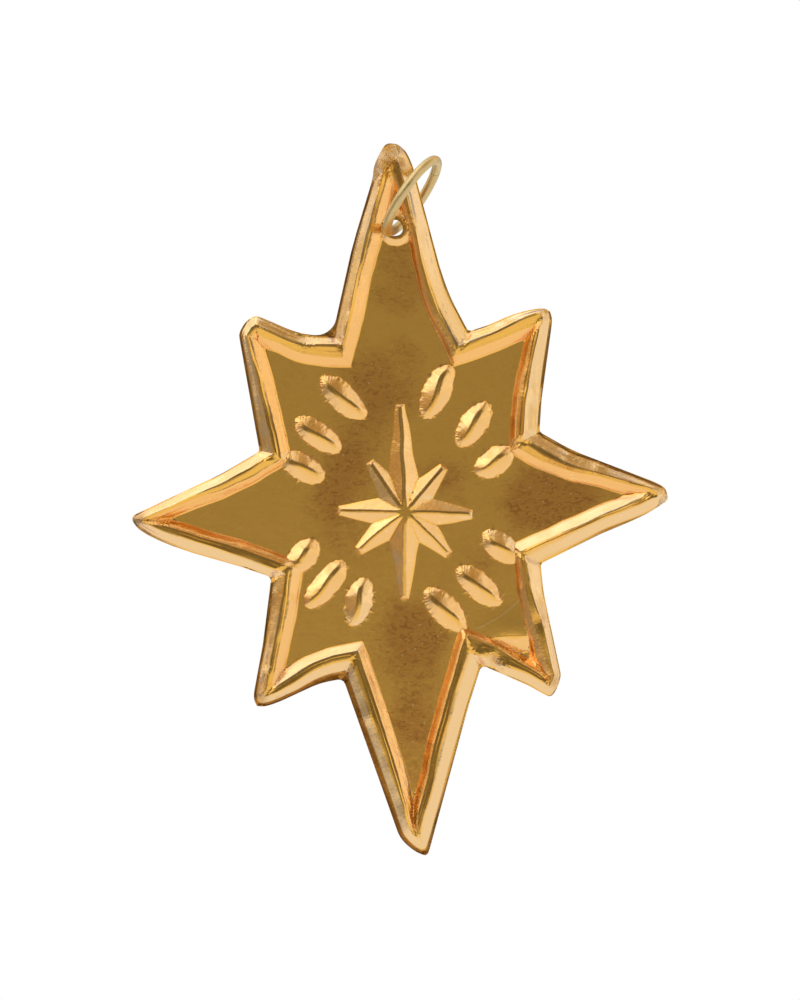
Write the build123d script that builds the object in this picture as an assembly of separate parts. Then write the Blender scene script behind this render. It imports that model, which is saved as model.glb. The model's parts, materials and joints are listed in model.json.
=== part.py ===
# A hanging star stamped from thin tin, with the wire ring that it hangs from.
# The front of the star faces -Y and +Z is up. The origin is the point inside the far end of the
# ring where a hook or a thread bears, and the star hangs below the wire, at rest.

import os
from math import atan2, cos, degrees, radians, sin, tan

from build123d import *

# Sheet
star_width = 67.2
star_height = 89.4
sheet_thickness = 0.3

# How far each tip is cut back from the point where its two sides would meet
top_cut = 5.7
bottom_cut = 4.3
side_cut = 2.4
corner_cut = 1.8

# Rounding of the cut outline, and the share of a side that one rounding may take up
tip_round = 0.9
notch_round = 0.5
wide_notch_round = 2.5
side_round = 12.0
rounded_side_share = 0.48

# Raised border, from the edge inwards
rim_width = 0.35
outer_slope_width = 1.1
crest_width = 0.6
inner_slope_width = 1.0
border_height = 1.0

# Leaf marks
leaf_length = 7.3
leaf_width = 3.1
leaf_end_slope = 1.15
leaf_crest_width = 0.45
leaf_height = 0.8

# Rays of the small star in the middle
top_ray = 13.5
bottom_ray = 10.8
side_ray = 8.5
slant_ray = 7.6
ray_tip_width = 1.1
ray_root_width = 4.8
ray_crest_width = 0.4
ray_height = 1.15

# Wire ring
wire_diameter = 1.2
ring_inner_diameter = 9.4
seam_gap = 0.08

# Punched hole round the wire, and its raised lip
wire_clearance = 0.7
lip_edge_width = 0.15
lip_slope_width = 0.75
lip_height = 0.45

# How the ring sits in the hole, in degrees: its lean to the right, its twist from edge-on, how far
# round from its low end the sheet is, and how far round from its far end the seam is
ring_lean = 35.5
ring_twist = 11.7
hole_turn = 33.0
seam_turn = 38.0

# What the cutting solids run past the sheet
overrun = 4.0

# The outline clockwise from the top tip, as shares of half the width and half the height. Each tip
# is followed by a point on its side, a notch, and a point on the next side.
outline_shares = (
    (0.026, 1.153), (0.141, 0.729), (0.257, 0.489), (0.397, 0.524),
    (0.581, 0.562), (0.526, 0.329), (0.504, 0.198), (0.714, 0.113),
    (1.033, 0.003), (0.709, -0.094), (0.485, -0.170), (0.506, -0.314),
    (0.562, -0.568), (0.387, -0.495), (0.249, -0.445), (0.150, -0.666),
    (-0.025, -1.072), (-0.182, -0.671), (-0.270, -0.467), (-0.432, -0.499),
    (-0.620, -0.549), (-0.562, -0.362), (-0.521, -0.172), (-0.759, -0.110),
    (-1.110, 0.000), (-0.739, 0.104), (-0.544, 0.181), (-0.568, 0.330),
    (-0.614, 0.587), (-0.396, 0.512), (-0.252, 0.496), (-0.172, 0.725),
)
points_per_tip = 4
tip_cuts = (top_cut, corner_cut, side_cut, corner_cut, bottom_cut, corner_cut, side_cut, corner_cut)
notch_rounds = (
    notch_round, notch_round, notch_round, notch_round,
    notch_round, notch_round, notch_round, wide_notch_round,
)

# Leaf marks in fans of three: place as shares of the half sizes, turn in degrees from +X, and
# length as a share of the leaf length
leaf_shares = (
    (-0.223, 0.320, -44, 1.05), (-0.322, 0.218, -37, 0.96), (-0.387, 0.129, -33, 0.86),
    (0.129, 0.325, 61, 1.05), (0.260, 0.228, 51, 0.92), (0.329, 0.120, 30, 0.78),
    (-0.400, -0.118, 42, 0.76), (-0.319, -0.200, 48, 1.05), (-0.200, -0.253, 71, 0.90),
    (0.122, -0.288, -48, 1.00), (0.249, -0.223, -44, 1.02), (0.339, -0.117, -43, 0.82),
)

# Rays: length, and direction in degrees from +X
rays = (
    (top_ray, 90), (slant_ray, 46), (side_ray, -5), (slant_ray, -46),
    (bottom_ray, -93), (slant_ray, -143), (side_ray, 176), (slant_ray, 123),
)
ray_centre_shares = (-0.012, -0.008)
hole_centre_shares = (0.003, 0.787)

half_width = star_width / 2
half_height = star_height / 2
outer_crest_inset = rim_width + outer_slope_width
inner_crest_inset = outer_crest_inset + crest_width
inner_foot_inset = inner_crest_inset + inner_slope_width
wire_radius = wire_diameter / 2
ring_radius = ring_inner_diameter / 2 + wire_radius
hole_radius = wire_radius + wire_clearance


def at_shares(shares):
    return Vector(shares[0] * half_width, shares[1] * half_height)


def inward(start, end):
    # Unit vector square to a side of the clockwise outline, pointing into the sheet
    along = (end - start).normalized()
    return Vector(along.Y, -along.X)


def inset_corner(before, corner, after, distance):
    # Where the two sides at a corner meet once both have moved inwards
    first = inward(before, corner)
    second = inward(corner, after)
    return corner + (first + second) * (distance / (1 + first.dot(second)))


def cut_tip(before, tip, after, cut, distance):
    # The two ends of the cut across a tip, both moved inwards, or one point twice where the sides
    # have already met
    to_before = (before - tip).normalized()
    to_after = (after - tip).normalized()
    reach = cut / to_before.dot((to_before + to_after).normalized())
    first = tip + to_before * reach
    second = tip + to_after * reach
    first_in = inset_corner(before, first, second, distance)
    second_in = inset_corner(first, second, after, distance)
    if (second_in - first_in).dot(second - first) > 0:
        return [first_in, second_in]
    return [inset_corner(before, tip, after, distance)] * 2


def inset_outline(distance):
    corners = [at_shares(shares) for shares in outline_shares]
    points = []
    for i, corner in enumerate(corners):
        before = corners[i - 1]
        after = corners[(i + 1) % len(corners)]
        if i % points_per_tip == 0:
            points += cut_tip(before, corner, after, tip_cuts[i // points_per_tip], distance)
        else:
            points.append(inset_corner(before, corner, after, distance))
    return points


def held_radius(before, corner, after, radius):
    # The radius of a rounding, held to what the shorter of its two sides has room for
    room = min((corner - before).length, (after - corner).length) * rounded_side_share
    turn = radians((corner - before).get_angle(after - corner))
    return min(radius, room / tan(turn / 2))


def outline_radii(corners):
    wanted = []
    for i in range(len(outline_shares)):
        if i % points_per_tip == 0:
            wanted += [tip_round, tip_round]
        elif i % points_per_tip == 2:
            wanted.append(notch_rounds[i // points_per_tip])
        else:
            wanted.append(side_round)
    radii = []
    for i, corner in enumerate(corners):
        after = corners[(i + 1) % len(corners)]
        radii.append(held_radius(corners[i - 1], corner, after, wanted[i]))
    return radii


def raised(points, height):
    return [Vector(point.X, point.Y, height) for point in points]


def faces_between(first, second):
    # Flat faces from one closed ring of points to the next, leaving out points that coincide
    faces = []
    for i in range(len(first)):
        j = (i + 1) % len(first)
        corners = []
        for point in (first[i], first[j], second[j], second[i]):
            if not corners or (point - corners[-1]).length > 0:
                corners.append(point)
        if (corners[0] - corners[-1]).length == 0:
            corners.pop()
        if len(corners) > 2:
            faces.append(Face(Wire.make_polygon(corners, close=True)))
    return faces


def border():
    rings = (
        raised(inset_outline(rim_width), 0),
        raised(inset_outline(outer_crest_inset), border_height),
        raised(inset_outline(inner_crest_inset), border_height),
        raised(inset_outline(inner_foot_inset), 0),
    )
    faces = []
    for i in range(len(rings)):
        faces += faces_between(rings[i - 1], rings[i])
    return Solid(Shell(faces))


def leaf_outline(length, width):
    above = ThreePointArc((-length / 2, 0), (0, width / 2), (length / 2, 0))
    below = ThreePointArc((length / 2, 0), (0, -width / 2), (-length / 2, 0))
    return make_face([above, below])


def leaf(x_share, z_share, turn, length_share):
    length = leaf_length * length_share
    foot = leaf_outline(length, leaf_width)
    crest = leaf_outline(length - 2 * leaf_end_slope, leaf_crest_width)
    body = loft([foot, Pos(0, 0, leaf_height) * crest], ruled=True)
    return Pos(at_shares((x_share, z_share))) * Rot(0, 0, turn) * body


def ray_section(distance, foot_width, height):
    half_crest = ray_crest_width / 2
    return [
        Vector(distance, -foot_width / 2, 0),
        Vector(distance, foot_width / 2, 0),
        Vector(distance, half_crest, height),
        Vector(distance, -half_crest, height),
    ]


def ray(length, turn):
    # The sides of a ray are flat, so its height falls with its width
    fall = (ray_tip_width - ray_crest_width) / (ray_root_width - ray_crest_width)
    root = ray_section(0, ray_root_width, ray_height)
    tip = ray_section(length, ray_tip_width, ray_height * fall)
    ends = [Face(Wire.make_polygon(section, close=True)) for section in (root, tip)]
    body = Solid(Shell(faces_between(root, tip) + ends))
    return Pos(at_shares(ray_centre_shares)) * Rot(0, 0, turn) * body


def lip():
    on_sheet = (Align.CENTER, Align.CENTER, Align.MIN)
    edge_radius = hole_radius + lip_edge_width
    body = Cone(edge_radius + lip_slope_width, edge_radius, lip_height, align=on_sheet)
    return Pos(at_shares(hole_centre_shares)) * body


def star_sheet():
    # The sheet lies on its back here, with its front face up at height zero
    depth = sheet_thickness + overrun
    block_align = (Align.CENTER, Align.CENTER, Align.MAX)
    block = Box(star_width + 2 * overrun, star_height + 2 * overrun, depth, align=block_align)
    marks = [border(), lip()]
    marks += [leaf(*row) for row in leaf_shares]
    marks += [ray(*row) for row in rays]
    relief = block + marks

    corners = inset_outline(0)
    edge = FilletPolyline(*corners, radius=outline_radii(corners), close=True)
    prism = extrude(Pos(0, 0, -depth) * make_face(edge), depth + overrun, dir=(0, 0, 1))
    hole = Pos(at_shares(hole_centre_shares)) * Cylinder(hole_radius, 2 * depth)
    return (relief & prism) - Pos(0, 0, -sheet_thickness) * relief - hole


# Directions in the ring: towards its far end, and across it towards the back
lean = radians(ring_lean)
twist = radians(ring_twist)
to_far_end = Vector(sin(lean), 0, cos(lean))
to_back = Vector(cos(lean) * sin(twist), cos(twist), -sin(lean) * sin(twist))
ring_centre = to_far_end * (wire_radius - ring_radius)


def on_ring(turn):
    return ring_centre + (to_far_end * cos(radians(turn)) + to_back * sin(radians(turn))) * ring_radius


def hanging_ring():
    # Round wire bent into a ring, its ends butted with a hair's gap at the seam
    gap_turn = degrees(seam_gap / ring_radius)
    plane = Plane(origin=ring_centre, x_dir=to_far_end, z_dir=to_far_end.cross(to_back))
    section = Plane.XZ * Pos(ring_radius, 0) * Circle(wire_radius)
    wire = revolve(section, Axis.Z, 360 - gap_turn)
    return plane.location * Rot(0, 0, seam_turn + gap_turn / 2) * wire


def hanging_star(pivot):
    # Stands the sheet up with the middle of its hole at the pivot, and turns it until it balances
    hole_centre = at_shares(hole_centre_shares)
    sheet = Pos(-hole_centre.X, -hole_centre.Y, sheet_thickness / 2) * star_sheet()
    sheet = Rot(90, 0, 0) * sheet
    balance = sheet.center(CenterOf.MASS)
    return Pos(pivot) * Rot(0, degrees(atan2(balance.X, -balance.Z)), 0) * sheet


def write(body, name):
    print(name, "solids", len(body.solids()), "volume", round(body.volume, 2))
    export_step(body, f"parts/{name}.step")


os.makedirs("parts", exist_ok=True)
pivot = on_ring(180 - hole_turn)
print("pivot", pivot, "ring centre", ring_centre)
write(hanging_star(pivot), "tin_star")
write(hanging_ring(), "hanging_ring")
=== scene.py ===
import json
import math

import bpy
import numpy as np
from mathutils import Matrix, Vector
from mathutils.geometry import delaunay_2d_cdt


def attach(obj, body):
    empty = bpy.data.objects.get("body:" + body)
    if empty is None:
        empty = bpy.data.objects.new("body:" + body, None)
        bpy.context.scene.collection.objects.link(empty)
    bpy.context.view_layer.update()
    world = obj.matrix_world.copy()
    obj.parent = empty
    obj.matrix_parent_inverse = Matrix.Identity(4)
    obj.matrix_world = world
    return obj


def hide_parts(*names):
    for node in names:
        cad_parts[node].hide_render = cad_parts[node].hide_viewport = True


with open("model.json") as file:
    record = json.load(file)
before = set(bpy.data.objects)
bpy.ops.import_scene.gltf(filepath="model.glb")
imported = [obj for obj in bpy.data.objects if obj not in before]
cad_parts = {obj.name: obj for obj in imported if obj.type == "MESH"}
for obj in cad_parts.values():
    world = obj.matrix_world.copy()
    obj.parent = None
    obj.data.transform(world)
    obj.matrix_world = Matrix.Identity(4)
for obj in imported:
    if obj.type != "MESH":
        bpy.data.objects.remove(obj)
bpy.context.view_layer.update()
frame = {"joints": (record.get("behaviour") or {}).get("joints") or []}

mm = 0.001  # shapes are written in millimetres and made in metres
pivot = Vector(frame["joints"][0]["pos_m"])  # middle of the punched hole


class Wire:  # an output socket, so that node maths reads as a plain expression
    def __init__(self, tree, port=None):
        self.tree = tree
        self.port = port

    def make(self, kind, values=None, out=0, **settings):  # any other node, its settings first
        node = self.tree.nodes.new(kind)
        for name, value in settings.items():
            if name == "stops":
                setStops(node.color_ramp, value)
            elif name == "curve":
                setCurve(node.mapping, value)
            else:
                setattr(node, name, value)
        for name, value in (values or {}).items():
            if isinstance(value, Wire):
                self.tree.links.new(value.port, node.inputs[name])
            else:
                node.inputs[name].default_value = value
        return Wire(self.tree, node.outputs[out] if node.outputs else None)

    def maths(self, operation, first, second=0.0):
        return self.make("ShaderNodeMath", {0: first, 1: second}, operation=operation)

    def __add__(self, other):
        return self.maths("ADD", self, other)

    def __radd__(self, other):
        return self.maths("ADD", other, self)

    def __sub__(self, other):
        return self.maths("SUBTRACT", self, other)

    def __rsub__(self, other):
        return self.maths("SUBTRACT", other, self)

    def __mul__(self, other):
        return self.maths("MULTIPLY", self, other)

    def __rmul__(self, other):
        return self.maths("MULTIPLY", other, self)

    def __truediv__(self, other):
        return self.maths("DIVIDE", self, other)

    def __rtruediv__(self, other):
        return self.maths("DIVIDE", other, self)

    def atLeast(self, other):
        return self.maths("MAXIMUM", self, other)

    def over(self, low, high):  # 0 below low, 1 above high, smooth between
        values = {"Value": self, 1: low, 2: high}
        return self.make("ShaderNodeMapRange", values, interpolation_type="SMOOTHSTEP")

    def mixColour(self, first, second, blend="MIX"):  # self is the factor
        values = {0: self, 6: first, 7: second}
        return self.make("ShaderNodeMix", values, 2, data_type="RGBA", blend_type=blend)

    def dot(self, direction):  # self is a vector
        values = {0: self, 1: direction}
        return self.make("ShaderNodeVectorMath", values, "Value", operation="DOT_PRODUCT")

    def beside(self, name):  # another output of the same node
        return Wire(self.tree, self.port.node.outputs[name])


def setStops(ramp, stops):
    while len(ramp.elements) < len(stops):
        ramp.elements.new(0.5)
    for element, (place, colour) in zip(ramp.elements, stops):
        element.position = place
        element.color = colour


def setCurve(mapping, points):
    curve = mapping.curves[0]
    while len(curve.points) < len(points):
        curve.points.new(0.5, 0.5)
    for point, (across, up) in zip(curve.points, points):
        point.location = (across, up)
        point.handle_type = "VECTOR"
    mapping.update()


def newMaterial(name):
    material = bpy.data.materials.new(name)
    material.use_nodes = True
    tree = material.node_tree
    tree.nodes.clear()
    return material, Wire(tree)


def finishMaterial(start, values):
    shader = start.make("ShaderNodeBsdfPrincipled", values, out="BSDF")
    start.make("ShaderNodeOutputMaterial", {"Surface": shader})


def newGroup(name, sockets):
    # sockets gives the kind and the value of each named input
    tree = bpy.data.node_groups.new(name, "GeometryNodeTree")
    for label, (kind, value) in sockets.items():
        socket = tree.interface.new_socket(name=label, in_out="INPUT", socket_type="NodeSocket" + kind)
        if value is not None:
            socket.default_value = value
    tree.interface.new_socket(name="Geometry", in_out="OUTPUT", socket_type="NodeSocketGeometry")
    entry = tree.nodes.new("NodeGroupInput")
    return tree, Wire(tree), {label: Wire(tree, entry.outputs[label]) for label in sockets}


def finishGroup(start, geometry):
    start.make("NodeGroupOutput", {"Geometry": geometry})


def runGroup(thing, tree, sockets):
    # Gives the object the tree's result as a plain mesh
    modifier = thing.modifiers.new(tree.name, "NODES")
    modifier.node_group = tree
    names = {item.name: item.identifier for item in tree.interface.items_tree if item.in_out == "INPUT"}
    for label, (kind, value) in sockets.items():
        if value is not None:
            modifier[names[label]] = value
    bpy.context.view_layer.update()
    graph = bpy.context.evaluated_depsgraph_get()
    shown = thing.evaluated_get(graph)
    mesh = bpy.data.meshes.new_from_object(shown, preserve_all_data_layers=True, depsgraph=graph)
    thing.modifiers.remove(modifier)
    thing.data = mesh


def newObject(name, mesh):
    thing = bpy.data.objects.new(name, mesh)
    bpy.context.scene.collection.objects.link(thing)
    return thing


# Camera, level with the star and a little rolled
view = {
    "lens": 300.0,
    "sensor": 36.0,
    "frameHeight": 125.0 * mm,
    "aimX": -5.045 * mm,
    "aimZ": -41.81 * mm,
    "roll": 1.19,  # degrees
}


def makeCamera():
    data = bpy.data.cameras.new("camera")
    data.lens = view["lens"]
    data.sensor_width = view["sensor"]
    distance = view["frameHeight"] * view["lens"] / view["sensor"]
    data.clip_start = distance / 100
    data.clip_end = distance * 10
    camera = newObject("camera", data)
    camera.location = (view["aimX"], -distance, view["aimZ"])
    camera.rotation_euler = (math.radians(90), math.radians(view["roll"]), 0)
    bpy.context.scene.camera = camera
    return distance


cameraDistance = makeCamera()
print("camera set, distance", round(cameraDistance, 3))


# The star's cut outline: eight bays clockwise from the top tip, each down to its notch and up to the middle
# of the next tip, in shares of the star's half width and half height. Each line starts where the last ends
starForm = {
    "halfWidth": 33.6,
    "halfHeight": 44.7,
    "turn": 1.41,  # degrees anticlockwise, as the star hangs
    "hole": (0.003, 0.787),
    "holeRadius": 1.3,
    "thickness": 0.3,
    "fieldY": 2.67661,  # front face of the flat field
    "columnStep": 0.4,
    "rows": (0.15, 0.27, 0.36, 0.47, 0.65, 0.85, 1.05, 1.2, 1.31, 1.4, 1.5, 1.6, 1.7, 1.8, 1.9, 2.0, 2.1, 2.2,
             2.35, 2.5, 2.65, 2.8, 2.9, 3.0, 3.1, 3.2, 3.4, 3.75),  # depths on the plain rib
    "fieldStep": 0.5,
    "notchRounds": (0.5, 0.5, 0.5, 0.6, 0.8, 0.6, 0.5, 2.5),
    "notchPoints": 9,
    "leastTurn": 0.03,  # sine of the turn below which a point of the outline is dropped
    "rowGap": 0.095,  # least step between two rows of points
    "rowSlip": 0.03,  # how far off its row a point may be
    "creaseCell": 0.78,
    "creaseStep": 0.13,
    "creaseDepths": (0.1, 3.3),
    "creaseMargins": (1.6, 0.16),  # how near a crease the coarse and the fine points lie
}
bays = (
    (((0.021, 1.025), (0.052, 1.004), (0.069, 0.975), (0.083, 0.943), (0.129, 0.774), (0.18, 0.607),
      (0.255, 0.489)),
     ((0.336, 0.506), (0.412, 0.53), (0.487, 0.543), (0.543, 0.546), (0.563, 0.535))),
    (((0.571, 0.513), (0.556, 0.454), (0.514, 0.288), (0.503, 0.199)),
     ((0.612, 0.147), (0.722, 0.11), (0.904, 0.052), (0.963, 0.028), (0.968, 0.01))),
    (((0.972, -0.008), (0.937, -0.024), (0.861, -0.055), (0.709, -0.094), (0.485, -0.17)),
     ((0.49, -0.249), (0.509, -0.331), (0.538, -0.466), (0.543, -0.486), (0.532, -0.51), (0.523, -0.523))),
    (((0.511, -0.538), (0.496, -0.546), (0.46, -0.528), (0.387, -0.496), (0.247, -0.446)),
     ((0.19, -0.561), (0.154, -0.655), (0.111, -0.757), (0.024, -0.955), (0.012, -0.975),
      (-0.01, -0.968))),
    (((-0.032, -0.96), (-0.078, -0.929), (-0.1, -0.892), (-0.182, -0.671), (-0.27, -0.467)),
     ((-0.356, -0.476), (-0.432, -0.499), (-0.508, -0.523), (-0.567, -0.536), (-0.596, -0.533))),
    (((-0.609, -0.51), (-0.598, -0.469), (-0.562, -0.362), (-0.521, -0.174)),
     ((-0.634, -0.139), (-0.781, -0.105), (-0.927, -0.061), (-1.014, -0.021), (-1.031, 0.007))),
    (((-1.023, 0.018), (-0.993, 0.027), (-0.844, 0.076), (-0.693, 0.119), (-0.543, 0.18)),
     ((-0.572, 0.339), (-0.6, 0.499), (-0.599, 0.516), (-0.578, 0.54), (-0.57, 0.546))),
    (((-0.56, 0.552), (-0.536, 0.561), (-0.51, 0.555), (-0.408, 0.515), (-0.335, 0.499), (-0.252, 0.496)),
     ((-0.172, 0.725), (-0.108, 0.86), (-0.075, 0.93), (-0.071, 0.96), (-0.052, 0.993), (-0.022, 1.027),
      (0, 1.026))),
)


# The border on each of the sixteen sides, clockwise. At the side's start, middle and end: how far in from
# the cut edge the flat rim ends, the crest starts, the crest ends and the foot lies; then how steep the foot
# is at the start and the end (0 is an even slope), how tall the border is and how pale its inner slope is
# painted, a painted highlight
ribs = (
    (((0.1, 1.7, 2.2, 2.95), (0.1, 1.75, 2.15, 2.95), (0.1, 2.25, 2.75, 3.6)), (1, 1), 1.05, 0.2),
    (((0.1, 1.3, 2.3, 3.5), (0.1, 1, 2.2, 3.35), (0.1, 0.4, 2, 3.2)), (0, 0), 0.95, 0.3),
    (((0.25, 1.4, 2.1, 3.1), (0.3, 1.8, 2.3, 3.35), (0.2, 2.05, 2.55, 3.7)), (0.8, 1), 1.3, 0.1),
    (((0.3, 1.9, 3.1, 4.1), (0.3, 1.5, 2.1, 3.15), (0.3, 0.75, 1.35, 2.5)), (0, 0), 1, 0.3),
    (((0.1, 1.2, 2, 3.2), (0.3, 1.7, 2.25, 3.45), (0.1, 1.95, 2.5, 3.7)), (0, 0), 1, 1),
    (((0.1, 1.7, 2.3, 3.3), (0.1, 0.8, 1.9, 3), (0.1, 0.85, 1.3, 2.6)), (1, 0), 1.15, 0.2),
    (((0.1, 1.2, 1.6, 2.9), (0.1, 1.3, 2.2, 3.2), (0.1, 1.05, 2.8, 3.5)), (0.2, 0.5), 0.9, 0.2),
    (((0.1, 1.95, 2.85, 3.8), (0.25, 1.75, 2.75, 3.7), (0.3, 1.6, 2.3, 3.2)), (1, 1), 1.2, 0.1),
    (((0.5, 1.6, 2, 2.9), (0.65, 1.6, 2.5, 3.65), (0.6, 1.6, 2.9, 3.95)), (0, 0), 1, 0.3),
    (((0.8, 2.1, 3.1, 4.15), (0.4, 1.35, 2.3, 3.4), (0.4, 0.95, 1.7, 2.7)), (0.3, 0.3), 1, 0.9),
    (((0.3, 1.2, 2, 3.2), (0.3, 1.5, 2.25, 3.35), (0.3, 1.7, 2.45, 3.8)), (0, 0), 0.95, 0.4),
    (((0.1, 1.05, 1.95, 3), (0.1, 1.2, 2.15, 3.25), (0.3, 1.1, 1.8, 2.9)), (1, 1), 1.2, 0.2),
    (((0.1, 0.8, 1.35, 2.3), (0.1, 1, 1.55, 2.6), (0.1, 1.2, 2.3, 3.1)), (0, 0.2), 0.95, 0.2),
    (((0.3, 1.7, 2.5, 3.7), (0.3, 1.3, 1.9, 3.3), (0.3, 0.9, 1.4, 2.8)), (0, 0), 1, 0.2),
    (((0.1, 1, 2.3, 3.3), (0.1, 1.2, 2.1, 3.25), (0.3, 1.2, 2.75, 3.95)), (0, 0), 0.95, 0.3),
    (((0.3, 1.45, 1.9, 3.2), (0.3, 1.25, 1.9, 3.3), (0.3, 1.05, 1.85, 3)), (0, 0), 1, 0.3),
)
tipRibs = {0: (0.1, 1.6, 2.6, 3.7)}  # the same four lines at a tip, where they aren't the mean of its sides
plainRib = (0.0, 0.3, 1.35, 2.1, 3.1, 40.0)  # the same lines where the profiles below are drawn
downShares = (0, 0.12, 0.5, 0.9)  # where a tip and the three stations lie along a side that runs down from it
upShares = (0.1, 0.5, 0.88, 1)  # and where the stations and the tip lie along one that runs up to it

# Blunt tips, where the depth is evened out: place in shares, then size and spread in millimetres
bluntTips = ((0, 0.97, 3.6, 0.75), (0, -0.945, 2.2, 0.4), (-0.585, -0.515, 2.2, 0.45), (0.95, 0, 1.8, 0.3))
mitreFade = 0.7  # how wide the side's own height and steepness fade out beside a mitre


def inMillimetres(shares):
    return np.array(shares, float) * (starForm["halfWidth"], starForm["halfHeight"])


def awayFrom(points, shares):
    return np.hypot(*(points - inMillimetres(shares)).T)


def unit(step):
    return step / np.hypot(*step)


def lineLength(line):
    return np.hypot(*np.diff(line, axis=0).T).sum()


def rightOf(line):
    # Steps of length 1 to the right of a line, one for each of its points
    steps = np.gradient(line, axis=0)
    return np.stack([steps[:, 1], -steps[:, 0]], 1) / np.hypot(*steps.T)[:, None]


def climb(values, start, width):  # 0 up to the start, then evenly up to 1
    return np.clip((values - start) / width, 0, 1)


def fall(values, end, width):  # evenly down from 1, then 0 from the end on
    return np.clip((end - values) / width, 0, 1)


def softened(line, rounds=3):
    # Cuts the corners between a line's two ends again and again, then drops points that turn it very little
    for _ in range(rounds):
        middle = np.stack([line[:-1] * 0.75 + line[1:] * 0.25, line[:-1] * 0.25 + line[1:] * 0.75], 1)
        line = np.vstack([line[:1], middle.reshape(-1, 2)[1:-1], line[-1:]])
    kept = [line[0]]
    for here, following in zip(line[1:-1], line[2:]):
        back, on = here - kept[-1], following - here
        if abs(back[0] * on[1] - back[1] * on[0]) > starForm["leastTurn"] * np.hypot(*back) * np.hypot(*on):
            kept.append(here)
    return np.array(kept + [line[-1]])


def resampled(line, step):
    lengths = np.hypot(*np.diff(line, axis=0).T)
    along = np.concatenate([[0], np.cumsum(lengths)])
    stops = np.linspace(0, along[-1], max(2, int(round(along[-1] / step)) + 1))
    return np.stack([np.interp(stops, along, line[:, i]) for i in (0, 1)], 1)


drawn = [line for bay in bays for line in bay]
sides = [softened(inMillimetres((drawn[i - 1][-1], *line))) for i, line in enumerate(drawn)]
reach = 30.0  # how far a side's line is carried on past its notch, in millimetres
rowReach = 7.0  # the same for the rows of points along it


def carriedOn(i, past):
    # Side i, carried on past its notch into the sheet; even sides end at their notch, odd ones start there
    line = sides[i]
    if i % 2 == 0:
        return np.vstack([line, line[-1] + unit(line[-1] - line[-2]) * past])
    return np.vstack([line[0] + unit(line[0] - line[1]) * past, line])


def lineDistance(points, line):
    # Distance from a line, positive on its right, and how far along the line the nearest place is
    starts, steps = line[:-1], np.diff(line, axis=0)
    lengths = np.hypot(*steps.T)
    passed = 0.0
    best = np.full(len(points), 1e9)
    side = np.ones(len(points))
    along = np.zeros(len(points))
    for start, step, length in zip(starts, steps, lengths):
        away = points - start
        share = np.clip((away @ step) / (step @ step), 0, 1)
        gap = away - share[:, None] * step
        distance = np.hypot(gap[:, 0], gap[:, 1])
        nearer = distance < best
        best[nearer] = distance[nearer]
        cross = step[1] * away[:, 0] - step[0] * away[:, 1]
        side[nearer] = np.sign(cross[nearer])
        along[nearer] = passed + share[nearer] * length
        passed += length
    return best * side, along


def tipLines(i):
    # The border's lines at the tip where side i starts or ends
    tip = (i + 1) // 2 % len(bays)
    before, after = ribs[2 * tip - 1][0][2], ribs[2 * tip][0][0]
    return tipRibs.get(tip, tuple((a + b) / 2 for a, b in zip(before, after)))


def ribLines(i, share):
    # The border's lines on side i at each share of its length, one row for each share
    stations = ribs[i][0]
    if i % 2 == 0:
        places, stations = downShares, (tipLines(i), *stations)
    else:
        places, stations = upShares, (*stations, tipLines(i))
    lines = [np.interp(share, places, values) for values in zip(*stations)]
    nothing = np.zeros_like(share)
    return np.stack([nothing, *lines, nothing + plainRib[-1] + lines[-1] - plainRib[-2]], 1)


def sideDistance(points, i, plain):
    # Distance in from side i, or where that lies on the plain rib
    distance, along = lineDistance(points, carriedOn(i, reach))
    if not plain:
        return distance
    before = 0.0 if i % 2 == 0 else reach
    lines = ribLines(i, (along - before) / lineLength(sides[i]))
    result = distance.copy()
    for j in range(len(plainRib) - 1):
        low, high = lines[:, j], lines[:, j + 1]
        here = (distance >= low) & (distance < high)
        share = (distance - low) / np.maximum(high - low, 1e-6)
        result[here] = (plainRib[j] + share * (plainRib[j + 1] - plainRib[j]))[here]
    return result


def bothSides(points, plain):
    # Distances in from the first side of each bay, and from the second
    found = np.array([sideDistance(points, i, plain) for i in range(len(sides))])
    return found[::2], found[1::2]


def edgeDistance(points, plain=False):
    # How far in from the cut edge, mitred at the tips and at the notches
    return np.maximum(*bothSides(points, plain)).min(0)


def borderDepth(points):
    # How far in each point lies on the plain rib, evened out where a tip is blunt
    depth = edgeDistance(points, True)
    for x, z, size, spread in bluntTips:
        away = awayFrom(points, (x, z))
        near = away < size
        change = np.zeros(near.sum())
        steps = circle(np.zeros(2), spread, spread * 0.5)[::2]
        for step in steps:
            pair = [edgeDistance(points[near] + way * step, True) for way in (1, -1)]
            evened = np.where(np.min(pair, axis=0) > 0, np.mean(pair, axis=0) - depth[near], 0)
            change += evened / len(steps)
        depth[near] += change * np.clip((size - away[near]) / size * 2, 0, 1)
    return depth


def nearestSide(points):
    # The side each point belongs to and its distance to the nearest mitre
    down, up = bothSides(points, False)
    both = np.maximum(down, up)
    order, picked = np.argsort(both, axis=0), np.arange(len(points))
    bay = order[0]
    toMitre = np.minimum(both[order[1], picked] - both[bay, picked], np.abs(down - up)[bay, picked])
    return 2 * bay + (up[bay, picked] > down[bay, picked]), toMitre


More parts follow.
